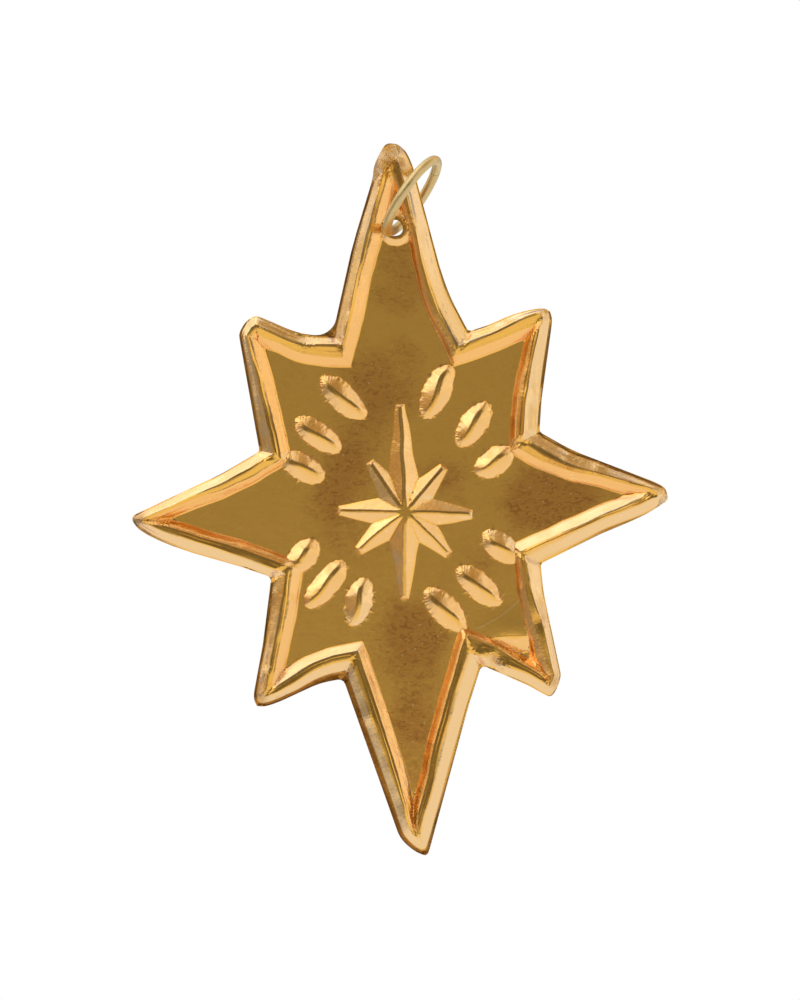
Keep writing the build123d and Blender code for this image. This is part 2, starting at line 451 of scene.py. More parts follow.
def bySide(points):
    # At each point: how steep the foot is, how tall the border, how wide the rim, how pale the inner slope is
    # painted as a highlight, how far along the outline it lies and whether it is clear of the mitres
    side, toMitre = nearestSide(points)
    steep, tall, rim, inner, along = np.zeros((5, len(points)))
    passed = 0.0
    for i, (stations, (first, last), height, innerSheen) in enumerate(ribs):
        here = side == i
        length = lineLength(sides[i])
        share = lineDistance(points[here], sides[i])[1] / length
        along[here] = passed + share * length
        passed += length
        steep[here] = first + (last - first) * share
        tall[here] = height
        rim[here] = ribLines(i, share)[:, 1]
        inner[here] = innerSheen
    inside = climb(toMitre, 0.0, mitreFade)
    return steep * inside, 1 + (tall - 1) * inside, rim, inner, along, inside


def turned(points, degrees):
    c, s = math.cos(math.radians(degrees)), math.sin(math.radians(degrees))
    return np.stack([points[:, 0] * c - points[:, 1] * s, points[:, 0] * s + points[:, 1] * c], 1)


def hung(points):
    # Places on the flat sheet in millimetres, turned to how they hang, in metres
    return turned(points - inMillimetres(starForm["hole"]), starForm["turn"]) * mm + (pivot.x, pivot.z)


def cutOutline():
    # The closed outline with its notches rounded
    loop = []
    for down, up, radius in zip(sides[::2], sides[1::2], starForm["notchRounds"]):
        corner = down[-1]
        back, on = unit(down[-2] - corner), unit(up[1] - corner)
        half = math.acos(np.clip(back @ on, -1, 1)) / 2
        length = radius / math.tan(half)
        middle = corner + unit(back + on) * radius / math.sin(half)
        first = corner + back * length - middle
        last = corner + on * length - middle
        arc = [first * (1 - t) + last * t for t in np.linspace(0, 1, starForm["notchPoints"])]
        loop += list(down[np.hypot(*(down - corner).T) > length])
        loop += [middle + unit(v) * radius for v in arc]
        loop += list(up[np.hypot(*(up - corner).T) > length][:-1])
    return resampled(np.array(loop + [loop[0]]), starForm["columnStep"])[:-1]


def sideRows():
    # Points in rows along each side of the border, where its profile turns
    rows = np.array(starForm["rows"])
    found = []
    for i, line in enumerate(sides):
        feet = resampled(carriedOn(i, rowReach), starForm["columnStep"])
        shares = lineDistance(feet, line)[1] / lineLength(line)
        depths = np.array([np.interp(rows, plainRib, lines) for lines in ribLines(i, shares)])
        used, last = [], 0.0
        for j, depth in enumerate(np.median(depths, axis=0)):
            if depth - last > starForm["rowGap"]:
                used.append(j)
                last = depth
        grid = (feet[:, None] + rightOf(feet)[:, None] * depths[:, used, None]).reshape(-1, 2)
        wanted = np.tile(rows[used], len(feet))
        found.append(grid[np.abs(edgeDistance(grid, True) - wanted) < starForm["rowSlip"]])
    return np.vstack(found)


def onCrease(grid, margin):
    # True where two sides of the border are about equally near
    down, up = bothSides(grid, True)
    both = np.maximum(down, up)
    nearest = np.sort(both, axis=0)
    bay, picked = np.argmin(both, axis=0), np.arange(len(grid))
    nearNotch = np.abs(down[bay, picked] - up[bay, picked]) < margin
    low, high = starForm["creaseDepths"]
    inBorder = (nearest[0] < high + margin) & (nearest[0] > low - margin)
    return inBorder & ((nearest[1] - nearest[0] < margin) | nearNotch)


def creasePoints():
    # A fine grid along the lines where two sides of the border meet
    corners = np.vstack(sides)
    half = starForm["creaseCell"] / 2
    wide, narrow = starForm["creaseMargins"]
    coarse = hexGrid(corners.min(0), corners.max(0), starForm["creaseCell"])
    coarse = coarse[onCrease(coarse, wide)]
    near = hexGrid((-half, -half), (half, half), starForm["creaseStep"])
    fine = (coarse[:, None] + near[None]).reshape(-1, 2)
    return fine[onCrease(fine, narrow)]


def hexGrid(low, high, step):
    across = np.arange(low[0], high[0], step)
    up = np.arange(low[1], high[1], step * 0.866)
    x, z = np.meshgrid(across, up)
    x = x + (np.arange(len(up)) % 2)[:, None] * step / 2
    return np.stack([x.ravel(), z.ravel()], 1)


def thinned(layers):
    # Keeps each point that is far enough from those kept before it; a layer is (points, distance)
    cell = 0.5  # no distance is greater
    kept, grid = [], {}
    for points, distance in layers:
        for x, z in points.tolist():
            i, j = int(x // cell), int(z // cell)
            cells = [grid.get((a, b), ()) for a in (i - 1, i, i + 1) for b in (j - 1, j, j + 1)]
            near = [point for found in cells for point in found]
            if not any((u - x) ** 2 + (v - z) ** 2 < distance * distance for u, v in near):
                kept.append((x, z))
                grid.setdefault((i, j), []).append((x, z))
    return np.array(kept)


# Twelve leaf marks pressed up from behind: place in shares, turn from the right in degrees, length and
# width in millimetres, and the end with the crimped edge (1 is the end the turn points to, 0 is neither)
leafForm = {
    "slope": 0.5,
    "puff": 0.16,  # how much steeper the foot is than the crest
    "crestBlend": 0.28,
    "crestBend": 0.16,
    "bendTurn": 2.5,
    "bluntness": 2.2,
    "roundness": 0.62,
    "swell": 1.1,
    "ragged": 0.11,
    "crimpDepth": 0.1,
    "crimpReach": 0.45,
    "crimpFade": 0.5,
    "crimpBlend": 0.3,
    "crimpLeast": 0.07,  # share of the crimp's depth that runs all round
    "knots": 90,
    "knotGap": (0.12, 0.26),
    "footStep": 0.13,
    "raggedFade": 0.3,
    "margins": (0.3, 0.6),  # how far past its length and width a leaf is worked out
    "seed": 7,
}
leaves = (
    (-0.223, 0.32, -44, 7.7, 3.1, -1), (-0.322, 0.218, -37, 7, 3, -1), (-0.387, 0.129, -33, 6.3, 3, 0),
    (0.129, 0.325, 61, 7.7, 3.1, -1), (0.26, 0.228, 51, 6.7, 3.1, -1), (0.329, 0.12, 30, 5.7, 3.1, 0),
    (-0.4, -0.118, 42, 5.6, 3.1, 0), (-0.319, -0.2, 48, 7.7, 3, 1), (-0.2, -0.253, 71, 6.6, 3.1, -1),
    (0.122, -0.288, -48, 7.3, 3.1, -1), (0.249, -0.223, -44, 7.4, 3.1, -1),
    (0.339, -0.117, -43, 6, 3.1, -1),
)


def leafOutlines():
    # Each leaf's foot line in its own frame, as an upper half from left to right and a lower half back
    random = np.random.default_rng(leafForm["seed"])
    count = leafForm["knots"]
    found = []
    for x, z, turn, length, width, crimped in leaves:
        along = np.linspace(-1, 1, 61)
        half = np.maximum(1 - np.abs(along) ** leafForm["bluntness"], 0) ** leafForm["roundness"]
        halves = []
        for way in (1, -1):
            line = np.stack([along * length / 2, half * width / 2 * leafForm["swell"] * way], 1)[::way]
            line = resampled(line, leafForm["footStep"])
            wobble = random.normal(0, leafForm["ragged"], len(line))
            wobble = np.convolve(wobble, (0.1, 0.25, 0.3, 0.25, 0.1), "same")
            wobble[[0, -1]] = 0
            knots = np.cumsum(random.uniform(*leafForm["knotGap"], count))
            folds = random.uniform(0.3, 1.0, count) * np.tile((1, -1), count // 2) * leafForm["crimpDepth"]
            halves.append((line, rightOf(line), wobble, knots, folds))
        found.append(halves)
    return found


leafLines = leafOutlines()


def lesser(first, second, blend):
    # The lesser of two heights, with the turn between them rounded over
    near = np.maximum(blend - np.abs(first - second), 0)
    return np.minimum(first, second) - near ** 2 / (4 * blend)


def leafHeight(points):
    height = np.zeros(len(points))
    pastEnd, pastSide = leafForm["margins"]
    for (x, z, turn, length, width, crimped), halves in zip(leaves, leafLines):
        local = turned(points - inMillimetres((x, z)), -turn)
        near = (np.abs(local[:, 0]) < length / 2 + pastEnd) & (np.abs(local[:, 1]) < width / 2 + pastSide)
        u = local[near][:, 0] / length * 2
        rises = []
        for way, (line, across, wobble, knots, folds) in zip((1, -1), halves):
            out, along = lineDistance(local[near], line)
            stray = np.interp(along, np.linspace(0, along.max(), len(wobble)), wobble)
            out = np.maximum(out - stray * np.exp(-np.abs(out) / leafForm["raggedFade"]), 0)
            slope = leafForm["slope"] * (1 + way * leafForm["crestBend"] * np.sin(u * leafForm["bendTurn"]))
            rise = slope * out * (1 + leafForm["puff"] * (1 - out / width * 2))
            weight = 0.0
            if crimped:
                weight = climb(crimped * u, 1 - leafForm["crimpReach"], leafForm["crimpBlend"])
            least = leafForm["crimpLeast"]
            fold = np.interp(along, knots, folds) * (least + (1 - least) * weight)
            fold = fold * np.exp(-out / leafForm["crimpFade"]) * np.clip(out / leafForm["footStep"], 0, 1)
            rises.append(rise + fold)
        rise = lesser(*rises, leafForm["crestBlend"] * 2 * leafForm["slope"])
        height[near] = np.maximum(height[near], rise)
    return height


# The small eight-rayed star in the middle: length in millimetres and direction in degrees
rayForm = {
    "centre": (-0.012, -0.008),
    "rays": ((13.5, 90), (7.6, 46), (8.5, -5), (7.6, -46), (10.8, -93), (7.6, -143), (8.5, 176), (7.6, 123)),
    "tipWidth": 1.2,
    "rootWidth": 4.9,
    "rounding": 0.26,  # how wide the turn over the crest is to each side, in millimetres
    "steepness": 0.5,
    "endSlope": 0.8,
    "flatTop": 1.04,
    "endReach": 1.5,
    "rowStep": 0.2,
    "rows": (0, 0.09, -0.09, 0.18, -0.18, 0.28, -0.28),  # lines of points beside the crest
    "valleyStep": 0.1,
    "valleyReach": 5,
    "valleyLeast": 0.02,  # least height of both rays beside a valley, and how much they may differ
    "valleyGap": 0.025,
}


def halfWidth(share):
    return (rayForm["rootWidth"] * (1 - share) + rayForm["tipWidth"] * share) / 2


def rayHeights(points):
    found = []
    for length, turn in rayForm["rays"]:
        u, v = turned(points - inMillimetres(rayForm["centre"]), -turn).T
        share = np.clip(u / length, 0, 1)
        half = halfWidth(share)
        slope = rayForm["steepness"]
        rise = lesser((half - v) * slope, (half + v) * slope, rayForm["rounding"] * 2 * slope)
        end = fall(u, length, rayForm["endSlope"]) * rayForm["tipWidth"] * 0.6
        rise = np.where(u > length - rayForm["endReach"], np.minimum(rise, end), rise)
        found.append(np.where(u < 0, 0, np.maximum(rise, 0)))
    return np.array(found)


def rayHeight(points):
    return np.minimum(rayHeights(points).max(0), rayForm["flatTop"])


def rayPoints():
    # Rows along each ray, then a fine grid in the valleys between the rays
    centre = inMillimetres(rayForm["centre"])
    rows = []
    for length, turn in rayForm["rays"]:
        along = np.linspace(0, length, int(length / rayForm["rowStep"]))
        half = halfWidth(along / length)
        for line in (half, -half, *(along * 0 + v for v in rayForm["rows"])):
            rows.append(turned(np.stack([along, line], 1), turn) + centre)
    reached = rayForm["valleyReach"]
    grid = hexGrid((-reached, -reached), (reached, reached), rayForm["valleyStep"]) + centre
    nearly = np.sort(rayHeights(grid), axis=0)
    raised = nearly[-2] > rayForm["valleyLeast"]
    return np.vstack(rows), grid[raised & (nearly[-1] - nearly[-2] < rayForm["valleyGap"])]


# The punched hole: its lip and its opening, in millimetres
holeForm = {
    "edge": 0.12,
    "slope": 0.8,
    "height": 0.45,
    "opening": 1.06,  # radius
    "squeeze": 0.07,  # share by which it is drawn in at its top and bottom
    "aside": -0.2,
    "step": 0.12,
    "rings": (1.35, 1.42, 1.5, 1.7, 1.9, 2.1, 2.2, 2.3, 2.45),
    "ringStep": 0.16,
}


def lipHeight(points):
    end = starForm["holeRadius"] + holeForm["edge"] + holeForm["slope"]
    return holeForm["height"] * fall(awayFrom(points, starForm["hole"]), end, holeForm["slope"])


# Where the flat is darker or lighter: partly wear in the lacquer, partly painted shade and light standing in
# for the reflections of the warped sheet: place in shares, size in millimetres, strength
worn = (
    (0.009, 0.585, 3.6, 0.3), (-0.009, 0.459, 3.8, 0.6), (-0.065, 0.349, 3.6, 0.7),
    (-0.119, 0.253, 3.2, 0.7), (-0.206, 0.158, 3.2, 0.8), (-0.269, 0.048, 3, 0.8),
    (-0.293, -0.035, 2.8, 0.7), (0.56, 0.03, 5.5, 1.5), (0.38, -0.002, 2.6, 0.6),
    (-0.012, -0.324, 3.4, 1.1), (-0.011, -0.422, 4.6, 1.1), (-0.03, -0.6, 4, 0.9),
    (0.156, -0.193, 2.4, 0.5), (0.13, 0.1, 2.6, 0.7), (-0.62, 0, 7, -0.9), (-0.4, -0.27, 4.5, -0.6),
    (0.28, 0.22, 4.5, -0.6), (0.36, -0.33, 4, -0.8), (-0.4, 0.32, 4, -0.1), (0.09, 0.5, 2.2, -0.7),
    (-0.09, 0.52, 2, -0.7),
)

# Brown spots at folds and tips, where the lacquer is painted darker: place in shares, size in millimetres,
# strength
brownSpots = (
    (-0.055, 0.963, 0.8, 0.9), (-0.012, 0.975, 0.7, 0.8), (0.03, 0.966, 0.7, 0.7),
    (0.3, -0.43, 0.6, 0.6), (0.469, -0.33, 0.7, 0.5), (0.515, -0.5, 0.8, 0.5), (-1, 0.008, 0.8, 0.6),
    (-0.58, -0.515, 0.7, 0.5),
)

# Folds and dents outside the drawn lines. A fold turns the sheet down past a line: two places on it in
# shares, how far it reaches to each side of the line's ends and past the line, and its slope. A dent has its
# place in shares, its size in millimetres and its height
folds = (((0.3, -0.372), (0.428, -0.368), 0.6, 2, -0.42),)
foldStart = (2.5, 0.7)  # depth from which a fold starts, and over what width
dentStart = (0.0, 0.6)  # the same for a dent
dents = (
    (0.298, -0.438, 0.75, -0.4), (0.264, -0.41, 0.8, 0.2), (0.335, -0.456, 0.7, 0.15),
    (0.33, -0.352, 2.2, 0.08), (0.39, -0.35, 1.8, 0.1), (0.478, -0.333, 0.8, -0.16),
    (-0.06, 0.95, 0.7, -0.2), (-0.565, -0.44, 0.9, 0.15), (-0.535, -0.22, 1.2, 0.2),
    (-0.52, 0.535, 1, 0.18), (-0.36, 0.49, 1.1, -0.16), (-0.2, -0.58, 0.9, 0.14),
    (-0.07, 0.93, 0.9, 0.16), (0.5, 0.3, 1, 0.1), (0.62, 0.13, 1.1, -0.14), (0.72, 0.1, 1, 0.16),
    (-0.6, -0.145, 0.8, -0.12), (-0.52, -0.17, 0.8, 0.14), (-0.56, 0.19, 0.9, 0.12),
)


def spots(points, table):
    total = np.zeros(len(points))
    for x, z, size, strength in table:
        total += strength * np.exp(-(awayFrom(points, (x, z)) / size) ** 2)
    return total


def foldHeight(points, depth):
    # Height the folds add, where depth is the distance in from the cut edge on the plain rib
    total = np.zeros(len(points))
    for first, last, past, reached, slope in folds:
        start, end = inMillimetres(first), inMillimetres(last)
        length = np.hypot(*(end - start))
        u, v = turned(points - start, -math.degrees(math.atan2(*(end - start)[::-1]))).T
        beside = np.clip(1 - np.maximum(np.maximum(-u, u - length), 0) / past, 0, 1)
        total += slope * np.clip(-v, 0, reached) * beside * climb(depth, *foldStart)
    return total


def pressed(points, depth):
    return foldHeight(points, depth) + spots(points, dents) * climb(depth, *dentStart)


def circle(centre, radius, step, squeeze=0.0):
    # A ring of points, drawn in a little at its top and bottom where it is squeezed
    turns = np.linspace(0, 2 * math.pi, max(8, int(2 * math.pi * radius / step)), endpoint=False)
    radii = radius * (1 - squeeze * np.sin(turns)[:, None] ** 12)
    return centre + radii * np.stack([np.cos(turns), np.sin(turns)], 1)


# How close the sheet's points lie, in millimetres: the step they are made at and the least distance kept
spacing = {
    "crease": 0.1,
    "ring": 0.08,
    "leafRow": 0.1,
    "leafDepths": (0.0, 0.14, 0.28, 0.42),
    "leafStep": 0.14,
    "leaf": 0.115,
    "leafInset": 0.5,
    "leafCrest": 0.6,  # half the width of the band along the crest where the grid isn't thinned
    "line": 0.085,
    "rayBox": ((-9, -11.5), (9, 14)),  # corners of the grid over the small star
    "rayStep": 0.22,
    "ray": 0.16,
    "rayLeast": 0.01,  # height from which the small star and a dent get their own points
    "dentLeast": 0.03,
    "foldPoints": 34,
    "fold": 0.1,
    "dentStep": 0.2,
    "dent": 0.17,
    "field": 0.34,
    "edge": 0.07,  # least distance from the cut edge
    "holeShare": 1.05,  # size, in holes, of the round that is kept free
}


def starPoints(outline, holeLine):
    # All the points the sheet is made from, the ones on its lines first
    hole = holeCentre()
    layers = [(np.vstack([outline, holeLine]), 0.0)]
    layers.append((creasePoints(), spacing["crease"]))
    layers += [(circle(hole, radius, holeForm["ringStep"]), spacing["ring"]) for radius in holeForm["rings"]]
    for (x, z, turn, length, width, crimped), halves in zip(leaves, leafLines):
        place = inMillimetres((x, z))
        for depth in spacing["leafDepths"]:
            for line, across, wobble, *rest in halves:
                row = line + across * (depth + wobble[:, None] * math.exp(-depth / leafForm["raggedFade"]))
                layers.append((turned(row, turn) + place, spacing["leafRow"]))
        grid = hexGrid((-length / 2, -width), (length / 2, width), spacing["leafStep"])
        inside = np.minimum(*(lineDistance(grid, line)[0] for line, *rest in halves))
        used = (np.abs(grid[:, 1]) < spacing["leafCrest"]) | (np.arange(len(grid)) % 2 == 0)
        grid = grid[(inside > spacing["leafInset"]) & used]
        layers.append((turned(grid, turn) + place, spacing["leaf"]))
    layers += [(points, spacing["line"]) for points in rayPoints()]
    centre = inMillimetres(rayForm["centre"])
    grid = hexGrid(*spacing["rayBox"], spacing["rayStep"])
    layers.append((grid[rayHeight(grid + centre) > spacing["rayLeast"]] + centre, spacing["ray"]))
    layers.append((sideRows(), spacing["line"]))
    for first, last, *rest in folds:
        crest = np.linspace(inMillimetres(first), inMillimetres(last), spacing["foldPoints"])
        layers.append((crest, spacing["fold"]))
    grid = hexGrid(outline.min(0), outline.max(0), spacing["dentStep"])
    dented = np.abs(pressed(grid, edgeDistance(grid, True))) > spacing["dentLeast"]
    layers.append((grid[dented], spacing["dent"]))
    layers.append((hexGrid(outline.min(0), outline.max(0), starForm["fieldStep"]), spacing["field"]))
    kept = []
    for points, distance in layers:
        if distance:
            inside = edgeDistance(points) > spacing["edge"]
            inside &= ~insideLoop(hole + (holeLine - hole) * spacing["holeShare"], points)
            points = points[inside]
        kept.append((points, distance))
    return thinned(kept)


def holeCentre():
    return inMillimetres(starForm["hole"]) + (holeForm["aside"], 0)


# What each vertex tells the shader. A pair is a depth in from the cut edge and the width of the change there
markForm = {
    "streaksEnd": (3.2, 0.3),
    "streaksWeaken": (1.5, 0.4),
    "streaksLost": 0.7,
    # Painted shade on the wide flat rims at the cut edge
    "rimShade": (0.42, 0.1),
    "wideRim": (0.15, 0.2),
    "holeShadow": (0.3, 0.1),  # painted shadow, out from the hole's edge
    "holeShadowMost": 0.7,
    # The outer slopes, the raised stamps and the folds are painted pale, as a painted highlight
    "outerSlope": (1.9, 0.4),
    "paleStamp": 0.02,  # height at which a stamp is painted fully pale, as a highlight
    "paleFold": -0.06,
    "stampPaleness": 0.55,
}


def starMesh():
    # The flat sheet, with what each vertex needs to know for the pressing
    outline = cutOutline()
    holeLine = circle(holeCentre(), holeForm["opening"], holeForm["step"], holeForm["squeeze"])
    points = starPoints(outline, holeLine)
    count, ring = len(outline), len(holeLine)
    edges = [(i, (i + 1) % count) for i in range(count)]
    edges += [(count + i, count + (i + 1) % ring) for i in range(ring)]
    found = delaunay_2d_cdt([Vector(p) for p in points.tolist()], edges, [], 0, 1e-6)
    points, faces = np.array([tuple(p) for p in found[0]]), np.array(found[2])
    middles = points[faces].mean(1)
    inside = insideLoop(outline, middles) & ~insideLoop(holeLine, middles)
    faces = faces[inside]
    placed = hung(points)
    vertices = np.stack([placed[:, 0], np.full(len(placed), starForm["fieldY"] * mm), placed[:, 1]], 1)
    mesh = bpy.data.meshes.new("tin_star")
    mesh.from_pydata(vertices.tolist(), [], faces.tolist())
    depth = borderDepth(points)
    stamp = np.maximum(np.maximum(leafHeight(points), rayHeight(points)), lipHeight(points))
    steep, tall, rim, inner, along, clear = bySide(points)
    weaker = 1 - markForm["streaksLost"] * climb(depth, *markForm["streaksWeaken"])
    nearHole = np.hypot(*(points - holeCentre()).T) - holeForm["opening"]
    # Painted shade on the wide rims, and a painted shadow round the hole's opening
    onRim = fall(depth, *markForm["rimShade"]) * climb(rim, *markForm["wideRim"])
    grime = np.maximum(onRim, np.minimum(fall(nearHole, *markForm["holeShadow"]), markForm["holeShadowMost"]))
    # The pale mark paints a highlight: outer slopes, each side's listed inner slope, and raised stamps and
    # folds are painted paler
    outer = fall(depth, *markForm["outerSlope"])
    lifted = np.maximum(stamp / markForm["paleStamp"], foldHeight(points, depth) / markForm["paleFold"])
    marks = {
        "edgeDistance": depth,
        "stamp": stamp,
        "steep": steep,
        "tall": tall,
        "press": pressed(points, depth),
        "along": along,
        "streaks": clear * fall(depth, *markForm["streaksEnd"]) * weaker,
        "worn": spots(points, worn),
        "grime": np.maximum(grime, spots(points, brownSpots)),
        "pale": np.maximum(np.clip(lifted, 0, markForm["stampPaleness"]), inner + (1 - inner) * outer),
    }
    for name, values in marks.items():
        layer = mesh.attributes.new(name, "FLOAT", "POINT")
        layer.data.foreach_set("value", np.asarray(values, np.float32))
    return mesh


def insideLoop(loop, points):
    inside = np.zeros(len(points), bool)
    for (x1, z1), (x2, z2) in zip(loop, np.roll(loop, -1, 0)):
        crosses = (z1 > points[:, 1]) != (z2 > points[:, 1])
        where = x1 + (points[crosses, 1] - z1) / (z2 - z1) * (x2 - x1)
        inside[np.nonzero(crosses)[0][points[crosses, 0] < where]] ^= True
    return inside


# Height of the border over the field, by the distance in from the cut edge: an even inner slope, and one
# that is steep at its foot
borderRise = ((0, 0), (0.25, 0), (0.34, 0.02), (0.42, 0.065), (1.08, 0.735), (1.22, 0.86), (1.35, 0.94),
              (1.48, 0.985), (1.62, 1))
borderProfile = {
    "span": 4.0,
    "height": 0.85,
    "points": (*borderRise, (1.78, 0.998), (1.92, 0.975), (2.06, 0.925), (2.18, 0.85), (2.98, 0.08),
               (3.08, 0.022), (3.18, 0), (4, 0)),
    "steepPoints": (*borderRise, (1.85, 0.995), (2.05, 0.96), (2.25, 0.87), (2.4, 0.75), (2.6, 0.56),
                    (2.8, 0.345), (3, 0.115), (3.07, 0.04), (3.14, 0), (4, 0)),
    "uneven": 0.12,  # share of the height that comes and goes along the border
    "unevenSize": 6.0,
    "dents": 0.02,
    "dentSize": 4.0,
    "sway": 0.35,  # how far the pressed lines stray to the side
    "swaySize": 5.0,
    "fade": 1.6,  # depth by which sway and dents have their full size
    "seed": 3.0,
    "weld": 1e-7,
}


def pressedTin(sockets):
    # Presses the flat sheet up, then gives it its thickness and its materials
    tree, start, ports = newGroup("pressed tin", sockets)

    def given(name):
        return start.make("GeometryNodeInputNamedAttribute", {"Name": name}, data_type="FLOAT")

    fromEdge = given("edgeDistance")
    place = start.make("GeometryNodeInputPosition")

    def profile(name):
        points = [(across / borderProfile["span"], up) for across, up in borderProfile[name]]
        return start.make("ShaderNodeFloatCurve", {"Value": fromEdge / ports["Profile span"]}, curve=points)

    def roughly(scale, out="Fac"):
        return start.make("ShaderNodeTexNoise", {
            "Vector": place, "W": ports["Seed"], "Scale": scale, "Detail": 1.0}, out, noise_dimensions="4D")

    def painted(mesh, metal, selection=True):
        return start.make("GeometryNodeSetMaterial", {
            "Geometry": mesh, "Selection": selection, "Material": ports[metal]})

    even = profile("points")
    border = (even + (profile("steepPoints") - even) * given("steep")) * given("tall")
    uneven = (roughly(ports["Uneven per metre"]) - 0.5) * ports["Uneven share"] * 2.0 + 1.0
    height = (border * ports["Border height"] * uneven).atLeast(given("stamp") * mm) + given("press") * mm
    fade = fromEdge.over(0.0, borderProfile["fade"])
    height = height + (roughly(ports["Dents per metre"]) - 0.5) * ports["Dent depth"] * fade
    stray = start.make("ShaderNodeSeparateXYZ", {"Vector": roughly(ports["Sways per metre"], "Color")})
    aside = fade * ports["Sway"] * 2.0
    offset = start.make("ShaderNodeCombineXYZ", {
        "X": (stray - 0.5) * aside, "Y": height * -1.0, "Z": (stray.beside("Z") - 0.5) * aside})
    front = start.make("GeometryNodeSetPosition", {"Geometry": ports["Geometry"], "Offset": offset})
    # How far each face turns away from the front; the lacquer paints these slopes paler, as a painted
    # highlight
    facing = start.make("GeometryNodeInputNormal").dot((0, -1, 0))
    front = start.make("GeometryNodeStoreNamedAttribute", {
        "Geometry": front, "Name": "stretch", "Value": 1.0 - facing}, data_type="FLOAT")
    front = painted(front, "Front")
    back = start.make("GeometryNodeFlipFaces", {"Mesh": front})
    through = start.make("ShaderNodeCombineXYZ", {"Y": ports["Thickness"]})
    back = start.make("GeometryNodeExtrudeMesh", {
        "Mesh": back, "Offset": through, "Offset Scale": 1.0, "Individual": False}, mode="FACES")
    side = back.beside("Side")
    back = painted(painted(back, "Back"), "Edge", side)
    back = start.make("GeometryNodeSetShadeSmooth", {
        "Geometry": back, "Selection": side, "Shade Smooth": False})
    join = start.tree.nodes.new("GeometryNodeJoinGeometry")
    for part in (back, front):
        start.tree.links.new(part.port, join.inputs["Geometry"])
    whole = start.make("GeometryNodeMergeByDistance", {
        "Geometry": Wire(tree, join.outputs["Geometry"]), "Distance": borderProfile["weld"]})
    finishGroup(start, start.make("GeometryNodeRealizeInstances", {"Geometry": whole}))
    return tree


# Wire ring, in its own frame: its far end lies along the first axis
ringForm = {
    "radius": 5.3 * mm,
    "wire": 1.2 * mm,
    "seamTurn": 38.0,  # degrees round from the far end
    "seamGap": 0.08 * mm,
    "centre": (-2.729 * mm, 0.0, -3.826 * mm),
    "farEnd": (0.5807, 0.0, 0.8141),
    "toBack": (0.165, 0.979, -0.118),
    "turns": 160,
    "sides": 20,
}


def bentWire(sockets):
    # One wire bent round into a ring, its two ends nearly meeting
    tree, start, ports = newGroup("bent wire", sockets)
    arc = start.make("GeometryNodeCurveArc", {
        "Resolution": ports["Steps round"], "Radius": ports["Ring radius"],
        "Start Angle": ports["Start angle"], "Sweep Angle": ports["Sweep angle"]}, mode="RADIUS")
    section = start.make("GeometryNodeCurvePrimitiveCircle", {
        "Resolution": ports["Wire sides"], "Radius": ports["Wire diameter"] * 0.5})
    wire = start.make("GeometryNodeCurveToMesh", {
        "Curve": arc, "Profile Curve": section, "Fill Caps": True})
    wire = start.make("GeometryNodeTransform", {
        "Geometry": wire, "Translation": ports["Place"], "Rotation": ports["Turn"]})
    wire = start.make("GeometryNodeRealizeInstances", {"Geometry": wire})
    wire = start.make("GeometryNodeSetMaterial", {"Geometry": wire, "Material": ports["Metal"]})
    finishGroup(start, wire)
    return tree


# Gold lacquer over tin: deep where the sheet faces the front, and painted paler where it turns away, a
# painted highlight on the slopes and stamps
goldLook = {
    # flat is the deep tone where the sheet faces the front; bent and stretched are the paler slope tones of
    # the painted highlight
    "flat": (0.88, 0.475, 0.088, 1),
    "bent": (0.93, 0.47, 0.105, 1),
    "stretched": (0.86, 0.5, 0.13, 1),
    # colour of the wear and painted shade on the flat
    "worn": (0.78, 0.68, 0.72, 1),
    "stroke": (0.76, 0.66, 0.7, 1),
    "speck": (1.0, 0.72, 0.4, 1),
    # colour of the painted shade on the rims and round the hole, and of the brown spots
    "grime": (0.42, 0.3, 0.25, 1),
    "roughness": 0.2,
    "coatIor": 2.35,
    "bump": 0.00006,
    "streaksAcross": 1.25,  # per millimetre
    "streaksAlong": 0.09,
    "streakDepth": 0.00032,
    "slope": (0.01, 0.12),  # turn away from the front from which the metal is a slope, and by which it fully is
    "flatPart": (0.0, 0.08),  # the same for where it stops being flat
    "paleRange": (0.1, 1.0),
    "wearAndShadeShare": 0.8,
    "cloudShare": 2.6,
    "cloudScale": 140.0,
    "wearAndShadeRange": (-0.1, 1.0),
    "fibreScale": 950.0,
    "fibreStretch": (1, 1, 1.9),
    "fibreTwist": 1.4,
    "strokes": (0.48, 0.64),
    "strokesLeast": 0.15,  # share that is left outside the zone of wear and painted shade
    "grainScale": 2600.0,
    "specks": (0.67, 0.72),
    "pitScale": 800.0,
    "pitsLeast": 0.25,  # share that is left on the flat
    "cloudRoughness": 0.1,
    "grainRoughness": 0.12,
    "coatRoughness": 0.12,
    "coatLeast": 0.15,  # share that is left where a slope isn't pale
    "scratch": ((0.202, -0.351), (0.324, -0.313), (0.401, -0.268)),  # three places on it, in shares
    "scratchEdge": (0.02 * mm, 0.07 * mm),
    "scratchEnds": (2 * mm, 1 * mm),  # how far from its left and its right end it fades
    "scratchPaleness": 0.55,
}


def scratchLine(place, port):
    # 1 on a thin arc through the three places
    first, middle, last = hung(inMillimetres(goldLook["scratch"]))
    sums = [p @ p - first @ first for p in (middle, last)]
    centre = np.linalg.solve(2 * np.array([middle - first, last - first]), sums)  # equally far from all three
    radius = float(np.hypot(*(first - centre)))
    flat = port.make("ShaderNodeVectorMath", {0: place, 1: (1, 0, 1)}, operation="MULTIPLY")
    middle = (centre[0], 0, centre[1])
    away = port.make("ShaderNodeVectorMath", {0: flat, 1: middle}, "Value", operation="DISTANCE")
    off = port.maths("ABSOLUTE", away - radius)
    across, up = place.dot((1, 0, 0)), place.dot((0, 0, 1))
    fadeIn, fadeOut = goldLook["scratchEnds"]
    within = across.over(first[0], first[0] + fadeIn) * (1.0 - up.over(last[1], last[1] + fadeOut))
    return (1.0 - off.over(*goldLook["scratchEdge"])) * within


